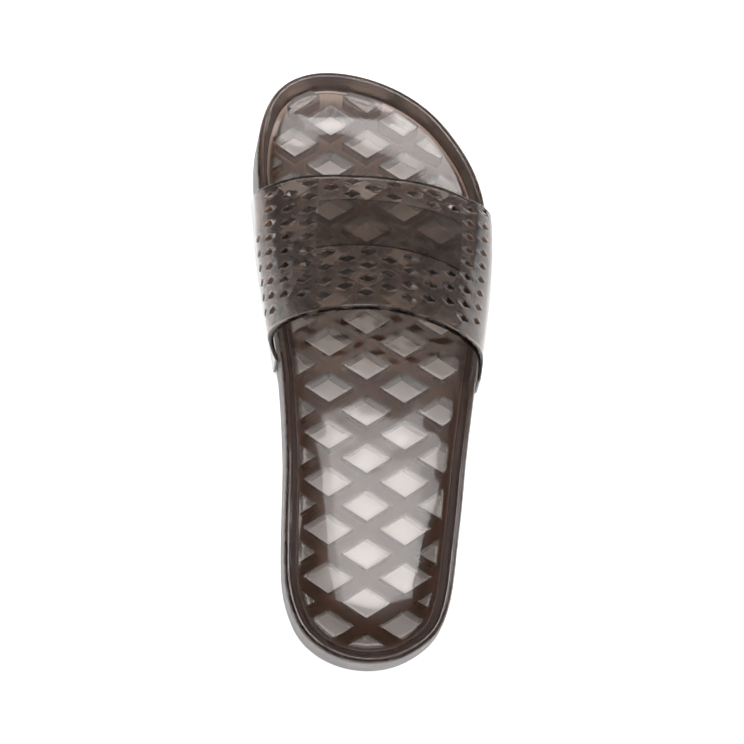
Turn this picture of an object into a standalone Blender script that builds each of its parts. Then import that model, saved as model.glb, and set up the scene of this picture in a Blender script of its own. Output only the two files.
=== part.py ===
"""Clear moulded slide sandal, right foot.

Two mouldings: the sole (footbed, rim, side wall and a lattice of open diamond
pockets underneath) and the strap, one wide band that is the whole upper.

Frame: metres, +Z up, toe towards +Y, lateral (little toe) side towards +X.
The origin is the middle of the shoe's box, on the floor.  Sizes and tables
below are in millimetres.
"""
import bpy
import bmesh
import math
import numpy as np

MM = 0.001

# ------------------------------------------------------------------ sizes
HEEL_Y = -129.6          # rim's outer edge at the back of the heel
TOE_Y = 129.6            # rim's outer edge at the tip of the toe
HEEL_NOSE = 42.0         # radius of the outline round the heel
TOE_NOSE = 50.0          # radius of the outline round the toe
SHIFT_X = -0.63          # puts the middle of the shoe's box on x = 0
SHIFT_Y = -0.48

STATIONS = 62            # outline stations from heel to toe on each side
CROSS = 10               # cells across the footbed

EDGE_ROUND = 1.2         # rounding at the foot of the side wall
BED_START = 8.0          # from the rim's outer edge to the open footbed
CUP = 27.0               # how far in from there the footbed is cupped
FLOOR_SKIN = 3.4         # plastic between footbed and pocket ceilings
POCKET_RING = 7.4        # solid ring outside the pockets, on the lateral side
POCKET_RING_IN = 5.4     # and round the heel, the medial side and the toe

CELL_X = 32.3            # lattice of pockets: pitch across the shoe
CELL_Y = 20.4            # and along it
LATTICE_X = -2.45        # one crossing of the ribs
LATTICE_Y = 8.6
RIB = 5.5                # width of a rib

GAP = 0.35               # air between strap and sole
STRAP_THICK = 3.8        # on top of the foot
LAP_RIM = 1.6            # strap thickness where it passes the rim
LAP_FOOT = 1.4           # and at its lower edge
LAP_Z = 2.0              # height of the strap's lower edge
EDGE_SOFT = 0.45         # rounding of the strap's edges

AROUND = 52              # cells along the strap, side to side
BAND = 12                # cells across its width

# Plan of the rim's outer edge.  along: mm from the middle towards the toe;
# medial, lateral: where the edge is on each side.
PLAN = [
    # along   medial  lateral
    (-125.0,  -19.7,   16.2),
    (-118.0,  -28.4,   25.2),
    (-110.0,  -33.0,   29.7),
    (-100.0,  -36.0,   32.3),
    (-85.0,   -37.1,   34.4),
    (-65.0,   -37.0,   36.9),
    (-45.0,   -36.8,   39.1),
    (-25.0,   -37.7,   41.8),
    (-5.0,    -39.4,   44.6),
    (15.0,    -42.5,   47.3),
    (35.0,    -45.9,   49.4),
    (55.0,    -48.6,   50.2),
    (66.0,    -49.5,   49.6),
    (76.0,    -50.5,   48.0),
    (90.0,    -51.3,   42.8),
    (102.0,   -50.3,   35.2),
    (112.0,   -47.7,   26.3),
    (120.0,   -43.3,   15.2),
    (126.0,   -36.0,    1.6),
]
HEEL_TIP = -1.4          # where the outline's ends are, across the shoe
TOE_TIP = -19.5

# Heights along the shoe.  under: underside above the floor; rim: crest of the
# rim; bed: middle of the footbed; flare: how far the foot of the side wall
# stands outside the rim, medial and lateral.
PROFILE = [
    # along   under   rim    bed   flare_m flare_l
    (-130.0,   0.9,   27.0,  20.6,   1.0,   1.0),
    (-122.0,   0.15,  27.0,  20.2,   1.0,   1.0),
    (-110.0,   0.0,   26.8,  19.6,   1.0,   1.0),
    (-80.0,    0.0,   26.0,  19.0,   1.2,   1.0),
    (-45.0,    0.0,   24.8,  19.0,   1.3,   1.0),
    (-10.0,    0.0,   23.6,  18.6,   1.3,   1.0),
    (25.0,     0.0,   22.6,  17.6,   1.5,   1.0),
    (55.0,     0.0,   22.2,  17.0,   1.7,   1.0),
    (80.0,     0.5,   22.6,  17.2,   2.0,   1.0),
    (100.0,    2.0,   23.8,  18.4,   1.8,   0.6),
    (118.0,    4.4,   25.8,  20.4,   0.6,   0.0),
    (130.0,    6.8,   27.6,  22.4,  -1.2,  -1.2),
]

# Top of the rim, in from its outer edge.  inward: mm; drop: below the crest.
RIM = [
    # inward  drop
    (0.0,     2.2),
    (0.35,    1.1),
    (1.0,     0.35),
    (1.9,     0.0),
    (2.8,     0.15),
    (3.7,     0.8),
    (4.6,     1.75),
    (5.7,     2.75),
    (6.8,     3.45),
    (8.0,     3.95),
]

# The strap round the foot, from the medial to the lateral side.
# part: where the row is; across_r, across_f: share of the half width at the
# rear and at the front of the band; rise: share of the arch above the rim;
# rear, front: mm along the shoe of the band's two edges.
STRAP = [
    # part               across_r across_f  rise   rear   front
    ("medial foot",      None,    None,    -1.00,  -2.0,  77.0),
    ("medial rim",       -1.00,   -1.00,    0.00,  -1.6,  73.4),
    ("medial side",      -1.035,  -0.995,   0.20,   3.6,  70.4),
    ("medial shoulder",  -0.91,   -0.905,   0.59,   6.4,  69.9),
    ("medial crown",     -0.56,   -0.56,    0.92,   8.0,  71.7),
    ("crown",            -0.08,   -0.08,    1.00,   8.4,  71.2),
    ("lateral crown",     0.42,    0.42,    0.87,   4.8,  69.4),
    ("lateral shoulder",  0.80,    0.80,    0.55,   0.2,  65.4),
    ("lateral side",      0.972,   0.985,   0.20,  -3.8,  63.4),
    ("lateral rim",       1.00,    1.00,    0.00,  -9.6,  64.0),
    ("lateral foot",     None,    None,    -1.00, -10.2,  66.0),
]

# Height of the strap's outer crown above the floor, along the shoe.
CROWN = [
    # along  height
    (-20.0,  69.5),
    (8.0,    66.0),
    (38.0,   57.6),
    (70.0,   49.8),
    (85.0,   46.8),
]


# -------------------------------------------------------------- small tools
def natural_spline(xs, ys):
    """Natural cubic spline through the rows; returns a function of x."""
    xs = np.asarray(xs, float)
    ys = np.asarray(ys, float)
    n = len(xs)
    h = np.diff(xs)
    a = np.zeros((n, n))
    r = np.zeros(n)
    a[0, 0] = a[-1, -1] = 1.0
    for i in range(1, n - 1):
        a[i, i - 1], a[i, i], a[i, i + 1] = h[i - 1], 2 * (h[i - 1] + h[i]), h[i]
        r[i] = 6 * ((ys[i + 1] - ys[i]) / h[i] - (ys[i] - ys[i - 1]) / h[i - 1])
    m = np.linalg.solve(a, r)

    def f(x):
        x = np.asarray(x, float)
        i = np.clip(np.searchsorted(xs, x) - 1, 0, n - 2)
        u, v = xs[i + 1] - x, x - xs[i]
        return (m[i] * u ** 3 + m[i + 1] * v ** 3) / (6 * h[i]) \
            + (ys[i] / h[i] - m[i] * h[i] / 6) * u \
            + (ys[i + 1] / h[i] - m[i + 1] * h[i] / 6) * v
    return f


def steady_spline(xs, ys):
    """Monotone cubic through the rows, so that flats stay flat."""
    xs = np.asarray(xs, float)
    ys = np.asarray(ys, float)
    h = np.diff(xs)
    s = np.diff(ys) / h
    d = np.zeros(len(xs))
    d[0], d[-1] = s[0], s[-1]
    for i in range(1, len(xs) - 1):
        if s[i - 1] * s[i] > 0:
            w1, w2 = 2 * h[i] + h[i - 1], h[i] + 2 * h[i - 1]
            d[i] = (w1 + w2) / (w1 / s[i - 1] + w2 / s[i])

    def f(x):
        x = np.clip(np.asarray(x, float), xs[0], xs[-1])
        i = np.clip(np.searchsorted(xs, x) - 1, 0, len(xs) - 2)
        t = (x - xs[i]) / h[i]
        return ys[i] * (1 + 2 * t) * (1 - t) ** 2 + h[i] * d[i] * t * (1 - t) ** 2 \
            + ys[i + 1] * t * t * (3 - 2 * t) + h[i] * d[i + 1] * t * t * (t - 1)
    return f


# ----------------------------------------------------------------- outline
HALF = (TOE_Y - HEEL_Y) / 2
MID_Y = (TOE_Y + HEEL_Y) / 2


def turn_of(y):
    """Angle that runs 0 at the heel to pi at the toe."""
    return np.arccos(np.clip(-(np.asarray(y, float) - MID_Y) / HALF, -1, 1))


def plan_splines():
    y = np.array([row[0] for row in PLAN])
    med = np.array([row[1] for row in PLAN])
    lat = np.array([row[2] for row in PLAN])
    t = turn_of(y)
    tip = HEEL_TIP + (TOE_TIP - HEEL_TIP) * (1 - np.cos(t)) / 2
    ends = [math.sqrt(HEEL_NOSE * HALF), math.sqrt(TOE_NOSE * HALF)]
    tt = np.concatenate([[0], t, [math.pi]])
    g_med = np.concatenate([[ends[0]], (tip - med) / np.sin(t), [ends[1]]])
    g_lat = np.concatenate([[ends[0]], (lat - tip) / np.sin(t), [ends[1]]])
    return natural_spline(tt, g_med), natural_spline(tt, g_lat)


G_MED, G_LAT = plan_splines()


def rim_edge(t, side):
    """Plan point of the rim's outer edge; side is -1 medial, +1 lateral."""
    t = np.asarray(t, float)
    tip = HEEL_TIP + (TOE_TIP - HEEL_TIP) * (1 - np.cos(t)) / 2
    g = G_LAT(t) if side > 0 else G_MED(t)
    return np.stack([tip + side * g * np.sin(t), MID_Y - HALF * np.cos(t)], -1)


def rim_normal(t, side):
    """Outward normal of the outline in plan."""
    e = 1e-4
    d = rim_edge(np.asarray(t) + e, side) - rim_edge(np.asarray(t) - e, side)
    d /= np.linalg.norm(d, axis=-1, keepdims=True)
    return np.stack([side * d[..., 1], -side * d[..., 0]], -1)


ALONG = [row[0] for row in PROFILE]
UNDER = steady_spline(ALONG, [row[1] for row in PROFILE])
RIM_Z = natural_spline(ALONG, [row[2] for row in PROFILE])
BED_Z = natural_spline(ALONG, [row[3] for row in PROFILE])
FLARE_M = natural_spline(ALONG, [row[4] for row in PROFILE])
FLARE_L = natural_spline(ALONG, [row[5] for row in PROFILE])
DROP = steady_spline([row[0] for row in RIM], [row[1] for row in RIM])


def flare(y, x):
    """Flare of the wall, blended from the medial to the lateral value."""
    k = np.clip(0.5 + (x + 3.0) / 50.0, 0, 1)
    return FLARE_M(y) * (1 - k) + FLARE_L(y) * k


def wall_point(t, side, z):
    """Point of the side wall's outer face at height z."""
    p = rim_edge(t, side)
    n = rim_normal(t, side)
    top = RIM_Z(p[..., 1]) - DROP(0.0)
    foot = UNDER(p[..., 1])
    k = np.clip((top - z) / (top - foot), 0, 1)
    out = flare(p[..., 1], p[..., 0]) * k
    q = p + n * out[..., None]
    return q, n


def loop_stations(count):
    """Angles and sides once round the outline, heel, lateral, toe, medial."""
    k = np.arange(count + 1) / count
    t = math.pi * (k - 0.055 * np.sin(4 * math.pi * k) / 2)
    lat = [(a, 1) for a in t]
    med = [(a, -1) for a in t[1:-1][::-1]]
    return lat + med


OUTLINE = np.array([rim_edge(a, s) for a, s in loop_stations(180)])
OUTLINE_NEXT = np.roll(OUTLINE, -1, axis=0)


def from_edge(x, y):
    """Distance in from the rim's outer edge, and where along the shoe the
    nearest piece of the edge is."""
    p = np.array([x, y])
    d = OUTLINE_NEXT - OUTLINE
    k = np.clip(((p - OUTLINE) * d).sum(1) / (d * d).sum(1), 0, 1)
    q = OUTLINE + d * k[:, None]
    r = np.hypot(q[:, 0] - x, q[:, 1] - y)
    i = int(np.argmin(r))
    return float(r[i]), float(q[i, 1])


def bed_height(x, y):
    """Top of the footbed, cupped up to the inside of the rim."""
    inward, near = from_edge(x, y)
    k = min(max((inward - BED_START) / CUP, 0.0), 1.0)
    ring = float(RIM_Z(near) - DROP(BED_START))
    low = float(BED_Z(y))
    return low + (ring - low) * (1 - k) ** 2.4


# -------------------------------------------------------------------- sole
def sole_mesh(stations, cross, rim_rows):
    """Closed body of the sole, before its pockets are cut."""
    loop = loop_stations(stations)
    t = np.array([a for a, s in loop])
    side = np.array([s for a, s in loop])
    count = len(loop)
    lateral = side > 0
    edge = np.where(lateral[:, None], rim_edge(t, 1), rim_edge(t, -1))
    norm = np.where(lateral[:, None], rim_normal(t, 1), rim_normal(t, -1))
    y = edge[:, 1]
    rim_z, under = RIM_Z(y), UNDER(y)
    spread = flare(y, edge[:, 0])

    verts, faces = [], []

    def ring(plan, z):
        start = len(verts)
        verts.extend([(p[0], p[1], h) for p, h in zip(plan, z)])
        return start

    rings = []
    foot = edge + norm * spread[:, None]
    rings.append(ring(foot - norm * EDGE_ROUND, under))
    rings.append(ring(foot - norm * EDGE_ROUND * 0.3, under + EDGE_ROUND * 0.3))
    top = rim_z - DROP(0.0)
    for k in (0.0, 0.5):
        z = under + EDGE_ROUND + (top - under - EDGE_ROUND) * k
        rings.append(ring(edge + norm * (spread * (top - z) / (top - under))[:, None], z))
    for inward in rim_rows:
        rings.append(ring(edge - norm * inward, rim_z - DROP(inward)))
    for a, b in zip(rings, rings[1:]):
        for i in range(count):
            j = (i + 1) % count
            faces.append((a + i, a + j, b + j, b + i))

    # Lateral and medial points of one station face each other, so the footbed
    # and the underside are rows of cells between them.
    def fill(start, height, up):
        med = [0] + [count - i for i in range(1, stations)] + [stations]
        rows = []
        for i in range(stations + 1):
            a, b = start + i, start + med[i]
            if i in (0, stations):
                rows.append([a])
                continue
            row = [a]
            pa, pb = np.array(verts[a]), np.array(verts[b])
            for c in range(1, cross):
                p = pa + (pb - pa) * c / cross
                row.append(len(verts))
                verts.append((p[0], p[1], height(p, pa, pb, c / cross)))
            row.append(b)
            rows.append(row)
        for r, s in zip(rows, rows[1:]):
            cells = []
            if len(r) == 1:
                cells = [(r[0], s[k], s[k + 1]) for k in range(len(s) - 1)]
                cells = [(c[0], c[2], c[1]) for c in cells]
            elif len(s) == 1:
                cells = [(r[k], r[k + 1], s[0]) for k in range(len(r) - 1)]
            else:
                cells = [(r[k], r[k + 1], s[k + 1], s[k]) for k in range(len(r) - 1)]
            faces.extend(c if not up else c[::-1] for c in cells)

    def bed(p, pa, pb, f):
        return bed_height(p[0], p[1])

    fill(rings[-1], bed, True)
    fill(rings[0], lambda p, pa, pb, f: float(UNDER(p[1])), False)
    return verts, faces


def clip(poly, cx, cy, nx, ny, reach):
    """Part of a plan polygon with (p - centre) . n below reach."""
    out = []
    for i, p in enumerate(poly):
        q = poly[(i + 1) % len(poly)]
        a = (p[0] - cx) * nx + (p[1] - cy) * ny - reach
        b = (q[0] - cx) * nx + (q[1] - cy) * ny - reach
        if a <= 0:
            out.append(p)
        if (a < 0 < b) or (b < 0 < a):
            k = a / (a - b)
            out.append((p[0] + (q[0] - p[0]) * k, p[1] + (q[1] - p[1]) * k))
    return out


def area(poly):
    return 0.5 * sum(p[0] * q[1] - q[0] * p[1]
                     for p, q in zip(poly, poly[1:] + poly[:1]))


def ring_width(t, side):
    """Width of the solid ring outside the pockets at an outline station."""
    k = math.sin(t) ** 0.7 if side > 0 else 0.0
    return POCKET_RING_IN + (POCKET_RING - POCKET_RING_IN) * k


def pocket_polygons():
    """Plan polygons of the pockets: lattice cells cut by the inner ring."""
    ring = []
    for a, s in loop_stations(17):
        p = rim_edge(a, s) - rim_normal(a, s) * ring_width(a, s)
        ring.append((float(p[0]), float(p[1])))
    steep = math.hypot(CELL_X / 2, CELL_Y / 2)
    nx, ny = (CELL_Y / 2) / steep, (CELL_X / 2) / steep
    reach = (CELL_X / 2) * nx - RIB / 2
    cells = []
    for row in range(-16, 17):
        for col in range(-4, 5):
            if (row + col) % 2 == 0:
                continue
            cx = LATTICE_X + col * CELL_X / 2
            cy = LATTICE_Y + row * CELL_Y / 2
            poly = ring
            for sx, sy in ((1, 1), (1, -1), (-1, 1), (-1, -1)):
                poly = clip(poly, cx, cy, sx * nx, sy * ny, reach) if poly else []
            tidy = []
            for p in poly:
                if not tidy or math.dist(p, tidy[-1]) > 0.5:
                    tidy.append(p)
            if len(tidy) > 2 and math.dist(tidy[0], tidy[-1]) <= 0.5:
                tidy.pop()
            if len(tidy) > 2 and area(tidy) > 14.0:
                cells.append(tidy)
    return cells


# ------------------------------------------------------------------- strap
def strap_tables():
    """Splines for the strap's rows, by distance round the foot."""
    rows = STRAP
    arch = [r for r in rows if r[1] is not None]
    width, high = 47.0, 31.0
    dist = [0.0]
    for p, q in zip(arch, arch[1:]):
        dist.append(dist[-1] + math.hypot((q[1] - p[1]) * width,
                                          (q[3] - p[3]) * high))
    total = dist[-1]
    lap = 21.0
    pos = [0.0] + [lap + d for d in dist] + [total + 2 * lap]
    share = [p / pos[-1] for p in pos]
    arch_pos = [d / total for d in dist]
    across = [natural_spline(arch_pos, [r[k] for r in arch]) for k in (1, 2)]
    rise = natural_spline(arch_pos, [r[3] for r in arch])
    rear = steady_spline(share, [r[4] for r in rows])
    front = steady_spline(share, [r[5] for r in rows])
    return share[1], share[-2], across, rise, rear, front


LAP_A, LAP_B, ACROSS, RISE, REAR, FRONT = strap_tables()
CROWN_Z = natural_spline([r[0] for r in CROWN], [r[1] for r in CROWN])


def strap_inner(u, y):
    """Inner surface of the strap at share u round the foot, at y."""
    t = float(turn_of(y))
    top = float(RIM_Z(y)) - float(DROP(0.0))
    if u < LAP_A or u > LAP_B:
        side = -1 if u < LAP_A else 1
        k = u / LAP_A if u < LAP_A else (1 - u) / (1 - LAP_B)
        z = LAP_Z + (top - LAP_Z) * k
        q, n = wall_point(t, side, z)
        return np.array([float(q[0]) + side * GAP, y, z])
    k = (u - LAP_A) / (LAP_B - LAP_A)
    xa = float(rim_edge(t, -1)[0]) - GAP
    xb = float(rim_edge(t, 1)[0]) + GAP
    arch = float(CROWN_Z(y)) - STRAP_THICK - top
    w = min(max(y / 68.0, 0.0), 1.0)
    across = float(ACROSS[0](k)) * (1 - w) + float(ACROSS[1](k)) * w
    return np.array([(xa + xb) / 2 + (xb - xa) / 2 * across, y,
                     top + arch * float(RISE(k))])


def strap_edge(u, v):
    """Where along the shoe a point of the band is; v is 0 rear, 1 front."""
    return float(REAR(u)) + (float(FRONT(u)) - float(REAR(u))) * v


def strap_thickness(u):
    """From the lap's lower edge, past the rim, to the full band."""
    k = u / LAP_A if u < 0.5 else (1 - u) / (1 - LAP_B)
    if k < 1:
        return LAP_FOOT + (LAP_RIM - LAP_FOOT) * k
    s = min((k - 1) / 0.9, 1.0)
    s = s * s * (3 - 2 * s)
    return LAP_RIM + (STRAP_THICK - LAP_RIM) * s


def strap_surface(around, band):
    """Inner face of the band as an open surface, with the share of the full
    thickness that each of its points gets."""
    verts, faces, share = [], [], []
    for i in range(around + 1):
        for j in range(band + 1):
            verts.append(strap_inner(i / around, strap_edge(i / around, j / band)))
            share.append(strap_thickness(i / around) / STRAP_THICK)
    for i in range(around):
        for j in range(band):
            a = i * (band + 1) + j
            faces.append((a, a + band + 1, a + band + 2, a + 1))
    return verts, faces, share


# ----------------------------------------------------------------- objects
def finish(bm, name, collection, closed=True):
    if closed:
        bmesh.ops.recalc_face_normals(bm, faces=bm.faces)
        if bm.calc_volume(signed=True) < 0:
            bmesh.ops.reverse_faces(bm, faces=bm.faces)
    mesh = bpy.data.meshes.new(name)
    bm.to_mesh(mesh)
    bm.free()
    obj = bpy.data.objects.new(name, mesh)
    collection.objects.link(obj)
    return obj


def to_bmesh(verts, faces):
    bm = bmesh.new()
    made = [bm.verts.new(((x - SHIFT_X) * MM, (y - SHIFT_Y) * MM, z * MM))
            for x, y, z in verts]
    for f in faces:
        bm.faces.new([made[k] for k in f])
    return bm


def pocket_cutter():
    """One body for each pocket, its top following the footbed."""
    bm = bmesh.new()
    for poly in pocket_polygons():
        cx = sum(p[0] for p in poly) / len(poly)
        cy = sum(p[1] for p in poly) / len(poly)
        top, low = [], []
        for x, y in poly:
            z = float(bed_height(x, y)) - FLOOR_SKIN
            top.append(bm.verts.new(((x - SHIFT_X) * MM, (y - SHIFT_Y) * MM, z * MM)))
            low.append(bm.verts.new(((x - SHIFT_X) * MM, (y - SHIFT_Y) * MM, -6 * MM)))
        z = float(bed_height(cx, cy)) - FLOOR_SKIN
        mid = bm.verts.new(((cx - SHIFT_X) * MM, (cy - SHIFT_Y) * MM, z * MM))
        n = len(poly)
        for i in range(n):
            j = (i + 1) % n
            bm.faces.new((top[i], top[j], mid))
            bm.faces.new((top[j], top[i], low[i], low[j]))
        bm.faces.new(low[::-1])
    return bm


def material(name, colour, roughness):
    mat = bpy.data.materials.new(name)
    mat.use_nodes = True
    node = mat.node_tree.nodes["Principled BSDF"]
    node.inputs["Base Color"].default_value = colour
    node.inputs["Roughness"].default_value = roughness
    node.inputs["Metallic"].default_value = 0.0
    return mat


def main():
    for obj in list(bpy.data.objects):
        bpy.data.objects.remove(obj)

    parts = bpy.data.collections.new("slide_sandal")
    tools = bpy.data.collections.new("cutters")
    bpy.context.scene.collection.children.link(parts)
    bpy.context.scene.collection.children.link(tools)

    verts, faces = sole_mesh(STATIONS, CROSS, [row[0] for row in RIM])
    sole = finish(to_bmesh(verts, faces), "sole", parts)
    cutter = finish(pocket_cutter(), "pocket_cutter", tools)
    cutter.hide_render = True
    cutter.display_type = 'WIRE'
    cut = sole.modifiers.new("pockets", 'BOOLEAN')
    cut.operation = 'DIFFERENCE'
    cut.solver = 'EXACT'
    cut.object = cutter

    verts, faces, share = strap_surface(AROUND, BAND)
    strap = finish(to_bmesh(verts, faces), "strap_upper", parts, closed=False)
    wall = strap.vertex_groups.new(name="wall")
    for i, k in enumerate(share):
        wall.add([i], k, 'REPLACE')
    shell = strap.modifiers.new("wall", 'SOLIDIFY')
    shell.thickness = STRAP_THICK * MM
    shell.offset = 1.0
    shell.vertex_group = "wall"
    shell.use_even_offset = True
    soft = strap.modifiers.new("edges", 'BEVEL')
    soft.width = EDGE_SOFT * MM
    soft.segments = 2
    soft.limit_method = 'ANGLE'
    soft.angle_limit = math.radians(50)

    sole.data.materials.append(material("clear_sole", (0.22, 0.18, 0.16, 1.0), 0.12))
    strap.data.materials.append(material("clear_strap", (0.16, 0.13, 0.12, 1.0), 0.15))
    for obj in (sole, strap):
        obj.data.shade_smooth()
        obj.data.set_sharp_from_angle(angle=math.radians(32))


main()
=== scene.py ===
"""Clear slide sandal, right shoe: looks, floor, light and camera.

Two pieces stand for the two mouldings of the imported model: the sole with its
lattice of open pockets, and the strap with its field of small diamond pits.
Both follow the same curves as the solids they stand for, at a finer pitch.
Sizes and tables are in millimetres, meshes in metres.
"""
import bpy
import bmesh
import math
import numpy as np
from mathutils import Vector, Matrix


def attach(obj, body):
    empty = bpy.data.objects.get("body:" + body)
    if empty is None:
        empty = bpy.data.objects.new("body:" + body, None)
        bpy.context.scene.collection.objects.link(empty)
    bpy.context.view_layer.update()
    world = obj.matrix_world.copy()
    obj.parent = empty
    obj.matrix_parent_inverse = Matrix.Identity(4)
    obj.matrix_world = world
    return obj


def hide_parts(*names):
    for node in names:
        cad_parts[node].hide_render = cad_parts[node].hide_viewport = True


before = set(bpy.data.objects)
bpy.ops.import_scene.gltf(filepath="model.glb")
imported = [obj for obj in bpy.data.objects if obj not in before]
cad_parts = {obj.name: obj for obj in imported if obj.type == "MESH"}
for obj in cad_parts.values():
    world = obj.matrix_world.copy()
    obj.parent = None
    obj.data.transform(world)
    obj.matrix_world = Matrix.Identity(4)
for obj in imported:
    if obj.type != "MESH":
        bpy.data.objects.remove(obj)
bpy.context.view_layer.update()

MM = 0.001

# ------------------------------------------------------------------ sizes
HEEL_Y = -129.6
TOE_Y = 129.6
HEEL_NOSE = 42.0
TOE_NOSE = 50.0
SHIFT_X = -0.63
SHIFT_Y = -0.48

EDGE_ROUND = 1.2
BED_START = 8.0
CUP = 18.0
FLOOR_SKIN = 3.4
POCKET_RING = 7.4
POCKET_RING_IN = 5.4

CELL_X = 32.3
CELL_Y = 20.4
LATTICE_X = -2.45
LATTICE_Y = 8.6
RIB = 5.5

GAP = 0.35
STRAP_THICK = 3.8
LAP_RIM = 1.6
LAP_FOOT = 1.4
LAP_Z = 2.0
EDGE_SOFT = 0.8          # rounding of the strap's edges

PLAN = [
    # along   medial  lateral
    (-125.0,  -19.7,   16.2),
    (-118.0,  -28.4,   25.2),
    (-110.0,  -33.0,   29.7),
    (-100.0,  -36.0,   32.3),
    (-85.0,   -37.1,   34.4),
    (-65.0,   -37.0,   36.9),
    (-45.0,   -36.8,   39.1),
    (-25.0,   -37.7,   41.8),
    (-5.0,    -39.4,   44.6),
    (15.0,    -42.5,   47.3),
    (35.0,    -45.9,   49.4),
    (55.0,    -48.6,   50.2),
    (66.0,    -49.5,   49.6),
    (76.0,    -50.5,   48.0),
    (90.0,    -51.3,   42.8),
    (102.0,   -50.3,   35.2),
    (112.0,   -47.7,   26.3),
    (120.0,   -43.3,   15.2),
    (126.0,   -36.0,    1.6),
]
HEEL_TIP = -1.4
TOE_TIP = -19.5

PROFILE = [
    # along   under   rim    bed   flare_m flare_l
    (-130.0,   0.9,   27.0,  20.6,   1.0,   1.0),
    (-122.0,   0.15,  27.0,  20.2,   1.0,   1.0),
    (-110.0,   0.0,   26.8,  19.6,   1.0,   1.0),
    (-80.0,    0.0,   26.0,  19.0,   1.2,   1.0),
    (-45.0,    0.0,   24.8,  19.0,   1.3,   1.0),
    (-10.0,    0.0,   23.6,  18.6,   1.3,   1.0),
    (25.0,     0.0,   22.6,  17.6,   1.5,   1.0),
    (55.0,     0.0,   22.2,  17.0,   1.7,   1.0),
    (80.0,     0.5,   22.6,  17.2,   2.0,   1.0),
    (100.0,    2.0,   23.8,  18.4,   1.8,   0.6),
    (118.0,    4.4,   25.8,  20.4,   0.6,   0.0),
    (130.0,    6.8,   27.6,  22.4,  -1.2,  -1.2),
]

RIM = [
    # inward  drop
    (0.0,     2.2),
    (0.35,    1.1),
    (1.0,     0.35),
    (1.9,     0.0),
    (2.8,     0.15),
    (3.7,     0.8),
    (4.6,     1.75),
    (5.7,     2.75),
    (6.8,     3.45),
    (8.0,     3.95),
]
RIM_FINE = [0.0, 0.12, 0.35, 0.65, 1.0, 1.45, 1.9, 2.35, 2.8, 3.25, 3.7, 4.15,
            4.6, 5.15, 5.7, 6.25, 6.8, 7.4, 8.0]

STRAP = [
    # part               across_r across_f  rise   rear   front
    ("medial foot",      None,    None,    -1.00,  -2.0,  77.0),
    ("medial rim",       -1.00,   -1.00,    0.00,  -1.6,  73.4),
    ("medial side",      -1.035,  -0.995,   0.20,   3.6,  70.4),
    ("medial shoulder",  -0.91,   -0.905,   0.59,   6.4,  69.9),
    ("medial crown",     -0.56,   -0.56,    0.92,   8.0,  71.7),
    ("crown",            -0.08,   -0.08,    1.00,   8.4,  71.2),
    ("lateral crown",     0.42,    0.42,    0.87,   4.8,  69.4),
    ("lateral shoulder",  0.80,    0.80,    0.55,   0.2,  65.4),
    ("lateral side",      0.972,   0.985,   0.20,  -3.8,  63.4),
    ("lateral rim",       1.00,    1.00,    0.00,  -9.6,  64.0),
    ("lateral foot",     None,    None,    -1.00, -10.2,  66.0),
]

CROWN = [
    # along  height
    (-20.0,  69.5),
    (8.0,    66.0),
    (38.0,   57.6),
    (70.0,   49.8),
    (85.0,   46.8),
]

# Field of pits on the strap: pitch round the foot, and across the band as a
# share of its width.
PIT_PITCH = 8.95
PIT_ROW = 0.1
PIT_Q0 = 10.0            # one column's place, round the foot from the crown
PIT_V0 = 0.896           # and its foremost row
PIT_SLANT = 0.135        # columns lean by this much for each mm along
PIT_A = 4.0              # half length of a pit
PIT_B = 1.9              # half width
PIT_DEPTH = 1.7
PANEL = (-12.4, 50.3, 0.446, 0.796)  # blank raised panel: round the foot, band
PANEL_RISE = 0.8
PANEL_MARK = 0.45        # how far the panel's colour goes towards the pits' darker one


# -------------------------------------------------------------- small tools
def natural_spline(xs, ys):
    xs = np.asarray(xs, float)
    ys = np.asarray(ys, float)
    n = len(xs)
    h = np.diff(xs)
    a = np.zeros((n, n))
    r = np.zeros(n)
    a[0, 0] = a[-1, -1] = 1.0
    for i in range(1, n - 1):
        a[i, i - 1], a[i, i], a[i, i + 1] = h[i - 1], 2 * (h[i - 1] + h[i]), h[i]
        r[i] = 6 * ((ys[i + 1] - ys[i]) / h[i] - (ys[i] - ys[i - 1]) / h[i - 1])
    m = np.linalg.solve(a, r)

    def f(x):
        x = np.asarray(x, float)
        i = np.clip(np.searchsorted(xs, x) - 1, 0, n - 2)
        u, v = xs[i + 1] - x, x - xs[i]
        return (m[i] * u ** 3 + m[i + 1] * v ** 3) / (6 * h[i]) \
            + (ys[i] / h[i] - m[i] * h[i] / 6) * u \
            + (ys[i + 1] / h[i] - m[i + 1] * h[i] / 6) * v
    return f


def steady_spline(xs, ys):
    xs = np.asarray(xs, float)
    ys = np.asarray(ys, float)
    h = np.diff(xs)
    s = np.diff(ys) / h
    d = np.zeros(len(xs))
    d[0], d[-1] = s[0], s[-1]
    for i in range(1, len(xs) - 1):
        if s[i - 1] * s[i] > 0:
            w1, w2 = 2 * h[i] + h[i - 1], h[i] + 2 * h[i - 1]
            d[i] = (w1 + w2) / (w1 / s[i - 1] + w2 / s[i])

    def f(x):
        x = np.clip(np.asarray(x, float), xs[0], xs[-1])
        i = np.clip(np.searchsorted(xs, x) - 1, 0, len(xs) - 2)
        t = (x - xs[i]) / h[i]
        return ys[i] * (1 + 2 * t) * (1 - t) ** 2 + h[i] * d[i] * t * (1 - t) ** 2 \
            + ys[i + 1] * t * t * (3 - 2 * t) + h[i] * d[i + 1] * t * t * (t - 1)
    return f


def smooth(k):
    k = np.clip(k, 0.0, 1.0)
    return k * k * (3 - 2 * k)


# ----------------------------------------------------------------- outline
HALF = (TOE_Y - HEEL_Y) / 2
MID_Y = (TOE_Y + HEEL_Y) / 2


def turn_of(y):
    return np.arccos(np.clip(-(np.asarray(y, float) - MID_Y) / HALF, -1, 1))


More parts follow.
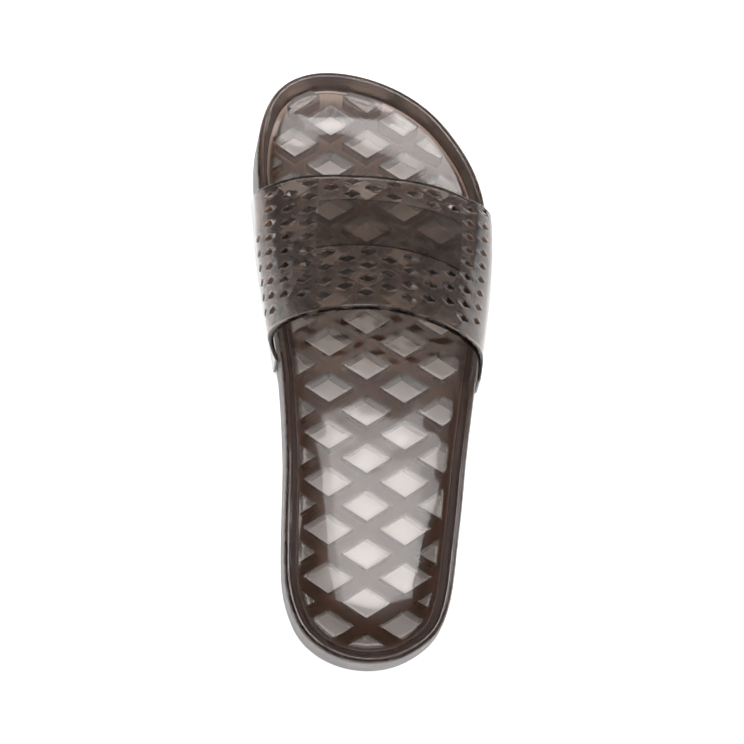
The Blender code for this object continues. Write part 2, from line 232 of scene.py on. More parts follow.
def plan_splines():
    y = np.array([row[0] for row in PLAN])
    med = np.array([row[1] for row in PLAN])
    lat = np.array([row[2] for row in PLAN])
    t = turn_of(y)
    tip = HEEL_TIP + (TOE_TIP - HEEL_TIP) * (1 - np.cos(t)) / 2
    ends = [math.sqrt(HEEL_NOSE * HALF), math.sqrt(TOE_NOSE * HALF)]
    tt = np.concatenate([[0], t, [math.pi]])
    g_med = np.concatenate([[ends[0]], (tip - med) / np.sin(t), [ends[1]]])
    g_lat = np.concatenate([[ends[0]], (lat - tip) / np.sin(t), [ends[1]]])
    return natural_spline(tt, g_med), natural_spline(tt, g_lat)


G_MED, G_LAT = plan_splines()


def rim_edge(t, side):
    t = np.asarray(t, float)
    tip = HEEL_TIP + (TOE_TIP - HEEL_TIP) * (1 - np.cos(t)) / 2
    g = G_LAT(t) if side > 0 else G_MED(t)
    return np.stack([tip + side * g * np.sin(t), MID_Y - HALF * np.cos(t)], -1)


def rim_normal(t, side):
    e = 1e-4
    d = rim_edge(np.asarray(t) + e, side) - rim_edge(np.asarray(t) - e, side)
    d /= np.linalg.norm(d, axis=-1, keepdims=True)
    return np.stack([side * d[..., 1], -side * d[..., 0]], -1)


ALONG = [row[0] for row in PROFILE]
UNDER = steady_spline(ALONG, [row[1] for row in PROFILE])
RIM_Z = natural_spline(ALONG, [row[2] for row in PROFILE])
BED_Z = natural_spline(ALONG, [row[3] for row in PROFILE])
FLARE_M = natural_spline(ALONG, [row[4] for row in PROFILE])
FLARE_L = natural_spline(ALONG, [row[5] for row in PROFILE])
DROP = steady_spline([row[0] for row in RIM], [row[1] for row in RIM])


def flare(y, x):
    k = np.clip(0.5 + (x + 3.0) / 50.0, 0, 1)
    return FLARE_M(y) * (1 - k) + FLARE_L(y) * k


def wall_point(t, side, z):
    p = rim_edge(t, side)
    n = rim_normal(t, side)
    top = RIM_Z(p[..., 1]) - DROP(0.0)
    foot = UNDER(p[..., 1])
    k = np.clip((top - z) / (top - foot), 0, 1)
    out = flare(p[..., 1], p[..., 0]) * k
    return p + n * out[..., None], n


def loop_stations(count):
    k = np.arange(count + 1) / count
    t = math.pi * (k - 0.055 * np.sin(4 * math.pi * k) / 2)
    return [(a, 1) for a in t] + [(a, -1) for a in t[1:-1][::-1]]


OUTLINE = np.array([rim_edge(a, s) for a, s in loop_stations(260)])
OUTLINE_NEXT = np.roll(OUTLINE, -1, axis=0)
OUTLINE_STEP = OUTLINE_NEXT - OUTLINE
OUTLINE_LEN2 = (OUTLINE_STEP ** 2).sum(1)


def from_edge(x, y):
    p = np.array([x, y])
    k = np.clip(((p - OUTLINE) * OUTLINE_STEP).sum(1) / OUTLINE_LEN2, 0, 1)
    q = OUTLINE + OUTLINE_STEP * k[:, None]
    r = np.hypot(q[:, 0] - x, q[:, 1] - y)
    i = int(np.argmin(r))
    return float(r[i]), float(q[i, 1])


def bed_height(x, y):
    inward, near = from_edge(x, y)
    k = min(max((inward - BED_START) / CUP, 0.0), 1.0)
    ring = float(RIM_Z(near) - DROP(BED_START))
    low = float(BED_Z(y))
    return low + (ring - low) * (1 - k) ** 2.0


# -------------------------------------------------------------------- sole
def sole_mesh(stations, cross, cross_under, rim_rows):
    loop = loop_stations(stations)
    t = np.array([a for a, s in loop])
    side = np.array([s for a, s in loop])
    count = len(loop)
    lateral = side > 0
    edge = np.where(lateral[:, None], rim_edge(t, 1), rim_edge(t, -1))
    norm = np.where(lateral[:, None], rim_normal(t, 1), rim_normal(t, -1))
    y = edge[:, 1]
    rim_z, under = RIM_Z(y), UNDER(y)
    spread = flare(y, edge[:, 0])

    verts, faces = [], []

    def ring(plan, z):
        start = len(verts)
        verts.extend([(p[0], p[1], h) for p, h in zip(plan, z)])
        return start

    rings = []
    top = rim_z - DROP(0.0)
    foot = edge + norm * (spread * (top - under - EDGE_ROUND) / (top - under))[:, None]
    for k in range(5):
        a = math.pi / 2 * k / 4
        rings.append(ring(foot - norm * EDGE_ROUND * (1 - math.sin(a)),
                          under + EDGE_ROUND * (1 - math.cos(a))))
    for k in (0.12, 0.25, 0.4, 0.55, 0.7, 0.85):
        z = under + EDGE_ROUND + (top - under - EDGE_ROUND) * k
        rings.append(ring(edge + norm * (spread * (top - z) / (top - under))[:, None], z))
    for inward in rim_rows:
        rings.append(ring(edge - norm * inward, rim_z - DROP(inward)))
    for a, b in zip(rings, rings[1:]):
        for i in range(count):
            j = (i + 1) % count
            faces.append((a + i, a + j, b + j, b + i))

    def fill(start, height, up, cells_across):
        med = [0] + [count - i for i in range(1, stations)] + [stations]
        rows = []
        for i in range(stations + 1):
            a, b = start + i, start + med[i]
            if i in (0, stations):
                rows.append([a])
                continue
            row = [a]
            pa, pb = np.array(verts[a]), np.array(verts[b])
            for c in range(1, cells_across):
                p = pa + (pb - pa) * c / cells_across
                row.append(len(verts))
                verts.append((p[0], p[1], height(p[0], p[1])))
            row.append(b)
            rows.append(row)
        for r, s in zip(rows, rows[1:]):
            if len(r) == 1:
                cells = [(r[0], s[k + 1], s[k]) for k in range(len(s) - 1)]
            elif len(s) == 1:
                cells = [(r[k], r[k + 1], s[0]) for k in range(len(r) - 1)]
            else:
                cells = [(r[k], r[k + 1], s[k + 1], s[k]) for k in range(len(r) - 1)]
            faces.extend(c if not up else c[::-1] for c in cells)

    fill(rings[-1], bed_height, True, cross)
    fill(rings[0], lambda x, y: float(UNDER(y)), False, cross_under)
    return verts, faces


def clip(poly, cx, cy, nx, ny, reach):
    out = []
    for i, p in enumerate(poly):
        q = poly[(i + 1) % len(poly)]
        a = (p[0] - cx) * nx + (p[1] - cy) * ny - reach
        b = (q[0] - cx) * nx + (q[1] - cy) * ny - reach
        if a <= 0:
            out.append(p)
        if (a < 0 < b) or (b < 0 < a):
            k = a / (a - b)
            out.append((p[0] + (q[0] - p[0]) * k, p[1] + (q[1] - p[1]) * k))
    return out


def area(poly):
    return 0.5 * sum(p[0] * q[1] - q[0] * p[1]
                     for p, q in zip(poly, poly[1:] + poly[:1]))


def ring_width(t, side):
    k = math.sin(t) ** 0.7 if side > 0 else 0.0
    return POCKET_RING_IN + (POCKET_RING - POCKET_RING_IN) * k


def pocket_polygons():
    ring = []
    for a, s in loop_stations(17):
        p = rim_edge(a, s) - rim_normal(a, s) * ring_width(a, s)
        ring.append((float(p[0]), float(p[1])))
    steep = math.hypot(CELL_X / 2, CELL_Y / 2)
    nx, ny = (CELL_Y / 2) / steep, (CELL_X / 2) / steep
    reach = (CELL_X / 2) * nx - RIB / 2
    cells = []
    for row in range(-16, 17):
        for col in range(-4, 5):
            if (row + col) % 2 == 0:
                continue
            cx = LATTICE_X + col * CELL_X / 2
            cy = LATTICE_Y + row * CELL_Y / 2
            poly = ring
            for sx, sy in ((1, 1), (1, -1), (-1, 1), (-1, -1)):
                poly = clip(poly, cx, cy, sx * nx, sy * ny, reach) if poly else []
            tidy = []
            for p in poly:
                if not tidy or math.dist(p, tidy[-1]) > 0.5:
                    tidy.append(p)
            if len(tidy) > 2 and math.dist(tidy[0], tidy[-1]) <= 0.5:
                tidy.pop()
            if len(tidy) > 2 and area(tidy) > 14.0:
                cells.append(tidy)
    return cells


# ------------------------------------------------------------------- strap
def strap_tables():
    rows = STRAP
    arch = [r for r in rows if r[1] is not None]
    width, high = 47.0, 31.0
    dist = [0.0]
    for p, q in zip(arch, arch[1:]):
        dist.append(dist[-1] + math.hypot((q[1] - p[1]) * width,
                                          (q[3] - p[3]) * high))
    total = dist[-1]
    lap = 21.0
    pos = [0.0] + [lap + d for d in dist] + [total + 2 * lap]
    share = [p / pos[-1] for p in pos]
    arch_pos = [d / total for d in dist]
    across = [natural_spline(arch_pos, [r[k] for r in arch]) for k in (1, 2)]
    rise = natural_spline(arch_pos, [r[3] for r in arch])
    rear = steady_spline(share, [r[4] for r in rows])
    front = steady_spline(share, [r[5] for r in rows])
    return share[1], share[-2], across, rise, rear, front


LAP_A, LAP_B, ACROSS, RISE, REAR, FRONT = strap_tables()
CROWN_Z = natural_spline([r[0] for r in CROWN], [r[1] for r in CROWN])


def strap_inner(u, y):
    t = float(turn_of(y))
    top = float(RIM_Z(y)) - float(DROP(0.0))
    if u < LAP_A or u > LAP_B:
        side = -1 if u < LAP_A else 1
        k = u / LAP_A if u < LAP_A else (1 - u) / (1 - LAP_B)
        z = LAP_Z + (top - LAP_Z) * k
        q, n = wall_point(t, side, z)
        return np.array([float(q[0]) + side * GAP, y, z])
    k = (u - LAP_A) / (LAP_B - LAP_A)
    xa = float(rim_edge(t, -1)[0]) - GAP
    xb = float(rim_edge(t, 1)[0]) + GAP
    arch = float(CROWN_Z(y)) - STRAP_THICK - top
    w = min(max(y / 68.0, 0.0), 1.0)
    across = float(ACROSS[0](k)) * (1 - w) + float(ACROSS[1](k)) * w
    return np.array([(xa + xb) / 2 + (xb - xa) / 2 * across, y,
                     top + arch * float(RISE(k))])


def strap_edge(u, v):
    return float(REAR(u)) + (float(FRONT(u)) - float(REAR(u))) * v


def strap_thickness(u):
    k = u / LAP_A if u < 0.5 else (1 - u) / (1 - LAP_B)
    if k < 1:
        return LAP_FOOT + (LAP_RIM - LAP_FOOT) * k
    s = min((k - 1) / 0.9, 1.0)
    s = s * s * (3 - 2 * s)
    return LAP_RIM + (STRAP_THICK - LAP_RIM) * s


class StrapField:
    """The band sampled on a fine grid of u (round the foot) and v (rear to
    front), with its normals, and the distance round the foot."""

    def __init__(self, nu=480, nv=60):
        self.us = np.linspace(0, 1, nu + 1)
        self.vs = np.linspace(0, 1, nv + 1)
        g = np.array([[strap_inner(u, strap_edge(u, v)) for v in self.vs]
                      for u in self.us])
        du = np.gradient(g, axis=0)
        dv = np.gradient(g, axis=1)
        n = np.cross(du, dv)
        n /= np.linalg.norm(n, axis=2, keepdims=True)
        mid = nu // 2
        if n[mid, nv // 2, 2] < 0:
            n = -n
        # the wall turns a corner at the rim; ease the normals over it
        for _ in range(10):
            m = n.copy()
            m[1:-1] = n[:-2] + 2 * n[1:-1] + n[2:]
            n = m / np.linalg.norm(m, axis=2, keepdims=True)
        self.g, self.n = g, n
        th = np.array([strap_thickness(u) for u in self.us])
        outer = g + n * th[:, None, None]
        self.th = th
        seg = np.linalg.norm(np.diff(outer, axis=0), axis=2)
        s = np.concatenate([np.zeros((1, nv + 1)), np.cumsum(seg, axis=0)], 0)
        k = int(round(0.45 * nu))
        s = s - s[k]
        y = g[:, :, 1]
        self.q = s + PIT_SLANT * (62.0 - y)

    def u_at(self, q, v):
        """u of the place that is q round the foot on the line v."""
        f = min(max(v, 0.0), 1.0) * (len(self.vs) - 1)
        j = min(int(f), len(self.vs) - 2)
        col = self.q[:, j] * (1 - (f - j)) + self.q[:, j + 1] * (f - j)
        return float(np.interp(q, col, self.us))

    def at(self, u, v, lift):
        """Point above the inner face; lift 0 is inside, 1 outside, and more
        or less than that is in mm from the outer face as (1, mm)."""
        fu = min(max(u, 0.0), 1.0) * (len(self.us) - 1)
        fv = min(max(v, 0.0), 1.0) * (len(self.vs) - 1)
        i, j = min(int(fu), len(self.us) - 2), min(int(fv), len(self.vs) - 2)
        a, b = fu - i, fv - j

        def mix(t):
            return (t[i, j] * (1 - a) * (1 - b) + t[i + 1, j] * a * (1 - b)
                    + t[i, j + 1] * (1 - a) * b + t[i + 1, j + 1] * a * b)
        p, n = mix(self.g), mix(self.n)
        n = n / np.linalg.norm(n)
        th = self.th[i] * (1 - a) + self.th[i + 1] * a
        return p + n * (th * lift[0] + lift[1])


def row_shift(q):
    """Rows of pits bend back a little down both sides."""
    return -0.045 * min(1.0, (abs(q - 8.0) / 52.0) ** 2)


def in_panel(q, w, grow=0.0):
    qa, qb, wa, wb = PANEL
    return qa - grow < q < qb + grow and \
        wa - grow / 63.0 < w < wb + grow / 63.0


def new_object(name, bm):
    mesh = bpy.data.meshes.new(name)
    bm.to_mesh(mesh)
    bm.free()
    obj = bpy.data.objects.new(name, mesh)
    bpy.context.scene.collection.objects.link(obj)
    return obj


def build_strap():
    field = StrapField()
    length = float(field.q[-1, 30] - field.q[0, 30])
    bm = bmesh.new()
    pit_shade_and_panel_tone = bm.faces.layers.float.new("pit")
    store, uv = {}, {}

    def soft_at(u):
        return min(EDGE_SOFT, 0.42 * strap_thickness(u))

    def band(u):
        return strap_edge(u, 1) - strap_edge(u, 0)

    def vert(u, v, depth):
        key = (round(u, 5), round(v, 5), round(depth, 3))
        if key not in store:
            p = field.at(u, v, (1.0, -depth))
            store[key] = bm.verts.new(((p[0] - SHIFT_X) * MM, (p[1] - SHIFT_Y) * MM,
                                       p[2] * MM))
            uv[store[key]] = (u, v)
        return store[key]

    def place(q, w, depth=0.0):
        v = min(max(w + row_shift(q), 0.0), 1.0)
        u = field.u_at(q, v)
        end = soft_at(0.0) / length
        u = min(max(u, end), 1 - end)
        edge = soft_at(u) / band(u)
        v = min(max(v, edge), 1 - edge)
        return vert(u, v, depth)

    def face(points, mark=0.0):
        seen = []
        for p in points:
            if p not in seen:
                seen.append(p)
        # a cell past the band's end or border is pressed to a line there
        us, vs = zip(*(uv[p] for p in seen))
        flat = max(us) - min(us) < 1e-6 or max(vs) - min(vs) < 1e-6
        if len(seen) > 2 and not flat and bm.faces.get(seen) is None:
            f = bm.faces.new(seen)
            f[pit_shade_and_panel_tone] = mark

    def wall(line):
        """Side of the panel: from the strap up to the panel along a line."""
        for (qa, wa), (qb, wb) in zip(line, line[1:]):
            bm.faces.new((place(qa, wa), place(qb, wb), place(qb, wb, -PANEL_RISE),
                          place(qa, wa, -PANEL_RISE)))

    half = PIT_PITCH / 2
    brim = ((0.84, 0.07), (0.66, 0.26))
    steps = [-1.0, -0.75, -0.5, -0.25, 0.0, 0.25, 0.5, 0.75, 1.0]
    for k in range(-11, 13):
        q0 = PIT_Q0 + k * PIT_PITCH
        start = PIT_V0 if k % 2 == 0 else PIT_V0 + PIT_ROW / 2
        sh = row_shift(q0)
        um = field.u_at(q0, 0.5)
        b = PIT_B / band(um)
        across = [q0 - half] + [q0 + t * PIT_A for t in steps] + [q0 + half]
        for r in range(-3, 13):
            w0 = start - r * PIT_ROW
            lo, hi = w0 - PIT_ROW / 2, w0 + PIT_ROW / 2
            if hi + sh < -0.05 or lo + sh > 1.05:
                continue
            v0 = w0 + sh
            up = [-PANEL_RISE if in_panel(q0, (lo + w0) / 2) else 0.0,
                  -PANEL_RISE if in_panel(q0, (hi + w0) / 2) else 0.0]
            pit = (0.055 < v0 - b and v0 + b < 0.985 and -6 <= k <= 6
                   and not in_panel(q0, w0, 2.6)
                   and not (k == -6 and v0 > 0.72))
            for part, (wa, wb) in enumerate(((lo, w0), (w0, hi))):
                lift = up[part]
                cols = []
                for t in steps:
                    q = q0 + t * PIT_A
                    edge = b * (1 - abs(t))
                    deep = PIT_DEPTH * (1 - abs(t))
                    if part == 0:
                        col = [place(q, lo, lift), place(q, (lo + w0 - edge) / 2, lift),
                               place(q, w0 - edge, lift)]
                        if pit:
                            col += [place(q, w0 - edge * k1, deep * k2) for k1, k2 in brim]
                        col.append(place(q, w0, deep if pit else lift))
                    else:
                        col = [place(q, w0, deep if pit else lift)]
                        if pit:
                            col += [place(q, w0 + edge * k1, deep * k2)
                                    for k1, k2 in brim[::-1]]
                        col += [place(q, w0 + edge, lift),
                                place(q, (hi + w0 + edge) / 2, lift), place(q, hi, lift)]
                    cols.append(col)
                for c, d in zip(cols, cols[1:]):
                    for i in range(len(c) - 1):
                        mark = PANEL_MARK if lift else 0.0
                        inside = i >= 2 if part == 0 else i < len(c) - 3
                        # Painted shade in the pits: their facets are darker, one facet more
                        # than the other and less so down the sides, and the row at the brim is
                        # lighter.
                        if pit and inside:
                            side = abs(q0 - 8) > 34
                            mark = 1.0 if part == 0 else (0.6 if side else 0.8)
                            if i == (2 if part == 0 else len(c) - 4):
                                mark *= 0.6 if side else 0.3
                        face([c[i], d[i], d[i + 1], c[i + 1]], mark)
                c, d = cols[0], cols[-1]
                mark = PANEL_MARK if lift else 0.0
                face([place(q0 - half, wa, lift)] + c + [place(q0 - half, wb, lift)], mark)
                face([place(q0 + half, wb, lift)] + d[::-1]
                     + [place(q0 + half, wa, lift)], mark)
            # where the panel starts or stops, its side stands up
            if up[0] != up[1]:
                wall([(q, w0) for q in across])
            if in_panel(q0, hi - 0.001) != in_panel(q0, hi + 0.001):
                wall([(q, hi) for q in across])
            for side in (-1, 1):
                for inside, (wa, wb) in zip(up, ((lo, w0), (w0, hi))):
                    if inside and not in_panel(q0 + side * PIT_PITCH, (wa + wb) / 2):
                        wall([(q0 + side * half, wa), (q0 + side * half, wb)])

    for v in [v for v in bm.verts if not v.link_faces]:
        uv.pop(v, None)
        bm.verts.remove(v)

    # each border point comes down to the inner face round a soft edge
    border = [e for e in bm.edges if len(e.link_faces) == 1]
    outer_faces = list(bm.faces)
    chains, inner = {}, {}

    def drop(p):
        u, v = uv[p]
        key = (round(u, 5), round(v, 5))
        if key not in inner:
            x = field.at(u, v, (0.0, 0.0))
            inner[key] = bm.verts.new(((x[0] - SHIFT_X) * MM, (x[1] - SHIFT_Y) * MM,
                                       x[2] * MM))
        return inner[key]

    def chain(p):
        if p not in chains:
            u, v = uv[p]
            r, th, wide = soft_at(u), strap_thickness(u), band(u)
            du = -1 if u < 2.0 / length else (1 if u > 1 - 2.0 / length else 0)
            edge = r / wide
            dv = -1 if v < edge * 1.02 else (1 if v > 1 - edge * 1.02 else 0)
            if du and not (u < soft_at(0.0) * 1.02 / length
                           or u > 1 - soft_at(0.0) * 1.02 / length):
                du = 0
            row = [p]
            turn = [math.radians(a) for a in (18, 36, 54, 72, 90)]
            legs = [(r * math.sin(a), r * (1 - math.cos(a))) for a in turn]
            legs += [(r * math.sin(a), th - r * (1 - math.cos(a))) for a in turn[::-1]]
            for out, depth in legs:
                x = field.at(u + du * out / length, v + dv * out / wide, (1.0, -depth))
                row.append(bm.verts.new(((x[0] - SHIFT_X) * MM, (x[1] - SHIFT_Y) * MM,
                                         x[2] * MM)))
            row.append(drop(p))
            chains[p] = row
        return chains[p]

    for f in outer_faces:
        below = list(dict.fromkeys(drop(p) for p in reversed(f.verts)))
        if len(below) > 2:
            bm.faces.new(below)
    for e in border:
        a, b = chain(e.verts[0]), chain(e.verts[1])
        for i in range(len(a) - 1):
            bm.faces.new((a[i], b[i], b[i + 1], a[i + 1]))
    bmesh.ops.recalc_face_normals(bm, faces=bm.faces)
    if bm.calc_volume(signed=True) < 0:
        bmesh.ops.reverse_faces(bm, faces=bm.faces)
    return new_object("strap_clear", bm)


# --------------------------------------------------------------- materials
def clear_plastic(name, absorb, roughness, wave, part, shade_colour, matt, matt_rough):
    """Clear tinted plastic: absorb is the loss per metre in red, green, blue.
    Faces that the attribute part marks get painted shade, a darker base
    colour, and those that the attribute matt marks are rougher."""
    mat = bpy.data.materials.new(name)
    mat.use_nodes = True
    nt = mat.node_tree
    nt.nodes.clear()
    out = nt.nodes.new("ShaderNodeOutputMaterial")
    bsdf = nt.nodes.new("ShaderNodeBsdfPrincipled")
    bsdf.inputs["Metallic"].default_value = 0.0
    bsdf.inputs["IOR"].default_value = 1.5
    bsdf.inputs["Transmission Weight"].default_value = 1.0
    nt.links.new(bsdf.outputs[0], out.inputs["Surface"])

    vol = nt.nodes.new("ShaderNodeVolumeAbsorption")
    density = max(absorb) * 1.3
    vol.inputs["Density"].default_value = density
    vol.inputs["Color"].default_value = [1 - a / density for a in absorb] + [1.0]
    nt.links.new(vol.outputs[0], out.inputs["Volume"])

    # Painted shade: marked faces get a darker base colour, which dims the light they let
    # through.
    mark = nt.nodes.new("ShaderNodeAttribute")
    mark.attribute_name = part
    shade_or_matt_layer = nt.nodes.new("ShaderNodeMix")
    shade_or_matt_layer.data_type = 'RGBA'
    shade_or_matt_layer.inputs["A"].default_value = (1.0, 1.0, 1.0, 1.0)
    shade_or_matt_layer.inputs["B"].default_value = (shade_colour, shade_colour, shade_colour, 1.0)
    nt.links.new(mark.outputs["Fac"], shade_or_matt_layer.inputs["Factor"])
    nt.links.new(shade_or_matt_layer.outputs["Result"], bsdf.inputs["Base Color"])

    # polish varies a little: fine haze and rubbed patches
    coord = nt.nodes.new("ShaderNodeTexCoord")
    haze = nt.nodes.new("ShaderNodeTexNoise")
    haze.inputs["Scale"].default_value = 90.0
    haze.inputs["Detail"].default_value = 4.0
    nt.links.new(coord.outputs["Object"], haze.inputs["Vector"])
    polish = nt.nodes.new("ShaderNodeMapRange")
    polish.inputs["From Min"].default_value = 0.35
    polish.inputs["From Max"].default_value = 0.75
    polish.inputs["To Min"].default_value = roughness * 0.6
    polish.inputs["To Max"].default_value = roughness * 2.2
    nt.links.new(haze.outputs["Fac"], polish.inputs["Value"])
    rough = nt.nodes.new("ShaderNodeMix")
    rough.data_type = 'FLOAT'
    rough.inputs["B"].default_value = matt_rough
    rubbed = nt.nodes.new("ShaderNodeAttribute")
    rubbed.attribute_name = matt
    nt.links.new(rubbed.outputs["Fac"], rough.inputs["Factor"])
    nt.links.new(polish.outputs[0], rough.inputs["A"])
    nt.links.new(rough.outputs["Result"], bsdf.inputs["Roughness"])

    broad = nt.nodes.new("ShaderNodeTexNoise")
    broad.inputs["Scale"].default_value = 45.0
    broad.inputs["Detail"].default_value = 1.0
    nt.links.new(coord.outputs["Object"], broad.inputs["Vector"])
    bump = nt.nodes.new("ShaderNodeBump")
    bump.inputs["Strength"].default_value = wave
    bump.inputs["Distance"].default_value = 0.001
    nt.links.new(broad.outputs["Fac"], bump.inputs["Height"])
    nt.links.new(bump.outputs["Normal"], bsdf.inputs["Normal"])
    return mat


# -------------------------------------------------------------- make pieces
def to_bmesh(verts, faces):
    bm = bmesh.new()
    made = [bm.verts.new(((x - SHIFT_X) * MM, (y - SHIFT_Y) * MM, z * MM))
            for x, y, z in verts]
    for f in faces:
        bm.faces.new([made[k] for k in f])
    return bm


def pocket_cutter():
    bm = bmesh.new()
    for poly in pocket_polygons():
        cx = sum(p[0] for p in poly) / len(poly)
        cy = sum(p[1] for p in poly) / len(poly)
        n = len(poly)
        cuts = 5
        grid = {}

        def top_at(x, y):
            key = (round(x, 4), round(y, 4))
            if key not in grid:
                z = bed_height(x, y) - FLOOR_SKIN
                grid[key] = bm.verts.new(((x - SHIFT_X) * MM, (y - SHIFT_Y) * MM, z * MM))
            return grid[key]
        low = [bm.verts.new(((x - SHIFT_X) * MM, (y - SHIFT_Y) * MM, -6 * MM))
               for x, y in poly]
        for i in range(n):
            j = (i + 1) % n
            (ax, ay), (bx, by) = poly[i], poly[j]
            rows = []
            for r in range(cuts + 1):
                row = []
                for c in range(r + 1):
                    f = r / cuts
                    g = c / r if r else 0.0
                    x = cx + ((ax - cx) * (1 - g) + (bx - cx) * g) * f
                    y = cy + ((ay - cy) * (1 - g) + (by - cy) * g) * f
                    row.append(top_at(x, y))
                rows.append(row)
            for r in range(cuts):
                for c in range(r + 1):
                    bm.faces.new((rows[r][c], rows[r + 1][c], rows[r + 1][c + 1]))
                    if c < r:
                        bm.faces.new((rows[r][c], rows[r + 1][c + 1], rows[r][c + 1]))
            edge = rows[cuts]
            bm.faces.new([low[i], low[j]] + edge[::-1])
        bm.faces.new(low[::-1])
    bmesh.ops.recalc_face_normals(bm, faces=bm.faces)
    return bm


def build_sole():
    verts, faces = sole_mesh(150, 36, 8, RIM_FINE)
    bm = to_bmesh(verts, faces)
    bmesh.ops.recalc_face_normals(bm, faces=bm.faces)
    if bm.calc_volume(signed=True) < 0:
        bmesh.ops.reverse_faces(bm, faces=bm.faces)
    sole = new_object("sole_clear", bm)
    cutter = new_object("pocket_cutter", pocket_cutter())
    cut = sole.modifiers.new("pockets", 'BOOLEAN')
    cut.operation = 'DIFFERENCE'
    cut.solver = 'EXACT'
    cut.object = cutter
    dg = bpy.context.evaluated_depsgraph_get()
    mesh = bpy.data.meshes.new_from_object(sole.evaluated_get(dg))
    sole.modifiers.clear()
    bpy.data.objects.remove(cutter)

    # the edge of each pocket's ceiling is softened
    bm = bmesh.new()
    bm.from_mesh(mesh)
    weight = bm.edges.layers.float.new("bevel_weight_edge")
    for e in bm.edges:
        if len(e.link_faces) == 2 and all(v.co.z > 6 * MM for v in e.verts) \
                and e.calc_face_angle(0.0) > math.radians(60):
            e[weight] = 1.0
    bm.to_mesh(mesh)
    bm.free()
    sole.data = mesh
    soft = sole.modifiers.new("edges", 'BEVEL')
    soft.width = 0.3 * MM
    soft.segments = 2
    soft.limit_method = 'WEIGHT'
    soft.use_clamp_overlap = True
    dg = bpy.context.evaluated_depsgraph_get()
    mesh = bpy.data.meshes.new_from_object(sole.evaluated_get(dg))
    sole.modifiers.clear()
    sole.data = mesh
    return sole


def mark_wall_shade_and_matt(mesh):
    """Painted shade: the pockets' upright walls, and a little less the outer wall,
    get a darker colour than the footbed; the outer wall is the most matt."""
    n = len(mesh.polygons)
    centre, normal = np.zeros(n * 3), np.zeros(n * 3)
    mesh.polygons.foreach_get("center", centre)
    mesh.polygons.foreach_get("normal", normal)
    at = centre.reshape(-1, 3)[:, :2] / MM + [SHIFT_X, SHIFT_Y]
    rise = np.abs(normal.reshape(-1, 3)[:, 2])
    upright = rise < 0.5
    inward = np.array([from_edge(x, y)[0] if d else 0.0 for (x, y), d in zip(at, upright)])
    # first layer: how much painted shade darkens each wall; second: how matt it is
    for name, pocket, outer in (("wall_shade", 1.0, 0.75), ("matt", 0.3, 1.0)):
        value = np.where(upright, np.where(inward > 3.0, pocket, outer), 0.0)
        shade_or_matt_layer = mesh.attributes.new(name, 'FLOAT', 'FACE')
        shade_or_matt_layer.data.foreach_set("value", value)


sole = build_sole()
sole.data.materials.clear()
# Painted shade on the sole's upright walls: they are marked for a darker colour than the
# footbed.
mark_wall_shade_and_matt(sole.data)
sole.data.materials.append(clear_plastic("clear_sole", (70.0, 86.0, 96.0), 0.04, 0.5,
                                         "wall_shade", 0.11, "matt", 0.42))
sole.data.shade_smooth()
sole.data.set_sharp_from_angle(angle=math.radians(30))

strap = build_strap()
# the pits take a darker colour, painted shade, through the attribute pit
strap.data.materials.append(clear_plastic("clear_strap", (136.0, 168.0, 190.0), 0.06, 0.3,
                                          "pit", 0.05, "pit", 0.06))
strap.data.shade_smooth()
strap.data.set_sharp_from_angle(angle=math.radians(30))

for piece, node, slot in ((sole, "sole", "clear_sole"), (strap, "strap_upper", "clear_strap")):
    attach(piece, "root")
    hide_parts(node)


# -------------------------------------------------------- floor and light
def look_at(obj, target):
    d = Vector(target) - obj.location
    obj.rotation_euler = d.to_track_quat('-Z', 'Y').to_euler()


bpy.ops.mesh.primitive_plane_add(size=8.0, location=(0, 0, -0.0004))
floor = bpy.context.object
floor.name = "floor"
mat = bpy.data.materials.new("floor")
mat.use_nodes = True
p = mat.node_tree.nodes["Principled BSDF"]
p.inputs["Base Color"].default_value = (0.93, 0.93, 0.93, 1.0)
p.inputs["Roughness"].default_value = 0.9
p.inputs["Specular IOR Level"].default_value = 0.0
floor.data.materials.append(mat)


def softbox(name, loc, target, size, power):
    light = bpy.data.lights.new(name, 'AREA')
    light.shape = 'RECTANGLE'
    light.size, light.size_y = size
    light.energy = power
    obj = bpy.data.objects.new(name, light)
    bpy.context.scene.collection.objects.link(obj)
    obj.location = loc
    look_at(obj, target)
    obj.visible_camera = False
    return obj


def radiance(size, value):
    """Watts that give an area light this radiance."""
    return value * math.pi * size[0] * size[1]


# A broad fill high above lights the floor; the softbox is what the gloss shows.
box = (5.0, 5.0)
fill = softbox("fill", (0.0, 0.1, 1.9), (0.0, 0.1, 0.0), box, radiance(box, 2.15))
fill.visible_glossy = False
# one bright panel with dimmer strips on three sides, which soften its edges
for k, (x0, x1, y0, y1, value) in enumerate((
        (-0.52, 0.28, 0.06, 0.32, 6.2),
        (0.28, 0.48, -0.04, 0.40, 3.5),
        (-0.52, 0.28, 0.32, 0.42, 4.0),
        (-0.52, 0.28, -0.08, 0.06, 6.5))):
    box = (x1 - x0, y1 - y0)
    mid = ((x0 + x1) / 2, (y0 + y1) / 2)
    softbox("softbox %d" % k, (mid[0], mid[1], 1.6), (mid[0], mid[1] - 0.001, 0.0),
            box, radiance(box, value))
box = (0.36, 1.2)
softbox("side", (1.45, 0.15, 1.35), (0.0, 0.0, 0.0), box, radiance(box, 4.5))

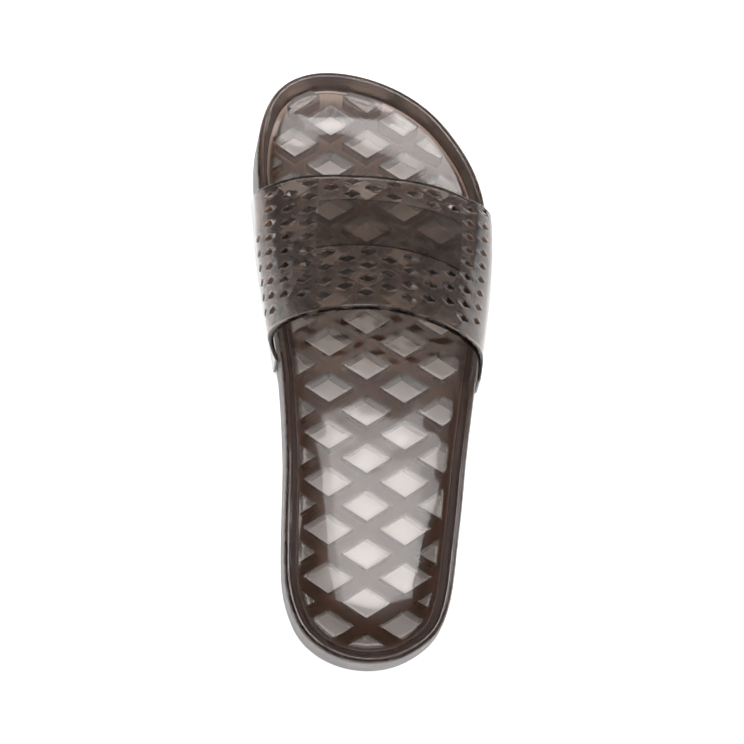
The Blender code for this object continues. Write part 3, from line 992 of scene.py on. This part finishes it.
world = bpy.data.worlds.new("studio")
bpy.context.scene.world = world
world.use_nodes = True
nt = world.node_tree
nt.nodes.clear()
out = nt.nodes.new("ShaderNodeOutputWorld")
bg = nt.nodes.new("ShaderNodeBackground")
coord = nt.nodes.new("ShaderNodeTexCoord")
split = nt.nodes.new("ShaderNodeSeparateXYZ")
ramp = nt.nodes.new("ShaderNodeValToRGB")
levels = ramp.color_ramp.elements
levels[0].position, levels[0].color = 0.0, (0.62, 0.6, 0.64, 1)
levels[1].position, levels[1].color = 1.0, (1.5, 1.45, 1.5, 1)
for place, value in ((0.3, 0.38), (0.6, 0.12), (0.87, 0.1), (0.96, 1.2)):
    stop = levels.new(place)
    stop.color = (value, value, value * 1.02, 1)
nt.links.new(coord.outputs["Generated"], split.inputs[0])
nt.links.new(split.outputs["Z"], ramp.inputs[0])
nt.links.new(ramp.outputs[0], bg.inputs["Color"])
bg.inputs["Strength"].default_value = 1.0
nt.links.new(bg.outputs[0], out.inputs[0])

# ----------------------------------------------------------------- camera
CAM_FAR = 0.700                      # metres from the aim point
CAM_TILT = math.radians(14.85)       # towards the heel
CAM_SIDE = math.radians(3.0)         # towards the medial side
aim = np.array([-SHIFT_X * MM, (-4.0 - SHIFT_Y) * MM, 12.0 * MM])
away = np.array([-math.tan(CAM_SIDE), -math.tan(CAM_TILT), 1.0])
away /= np.linalg.norm(away)
eye = aim + away * CAM_FAR
fwd = -away
right = np.cross(fwd, [0, 1, 0])
right /= np.linalg.norm(right)
up = np.cross(right, fwd)
cam_data = bpy.data.cameras.new("camera")
cam = bpy.data.objects.new("camera", cam_data)
bpy.context.scene.collection.objects.link(cam)
cam_data.sensor_width = 36.0
cam_data.lens = 2.3171 * 700 / 744 * 36.0
cam_data.clip_start = 0.02
m = Matrix.Identity(4)
for i in range(3):
    m[i][0], m[i][1], m[i][2], m[i][3] = right[i], up[i], away[i], eye[i]
cam.matrix_world = m
bpy.context.scene.camera = cam

scene = bpy.context.scene
scene.view_settings.view_transform = 'Standard'
scene.view_settings.look = 'None'
scene.view_settings.exposure = 0.0
scene.cycles.use_denoising = True
scene.cycles.max_bounces = 32
scene.cycles.transmission_bounces = 32
scene.cycles.glossy_bounces = 12
scene.cycles.diffuse_bounces = 6
scene.cycles.sample_clamp_indirect = 8.0
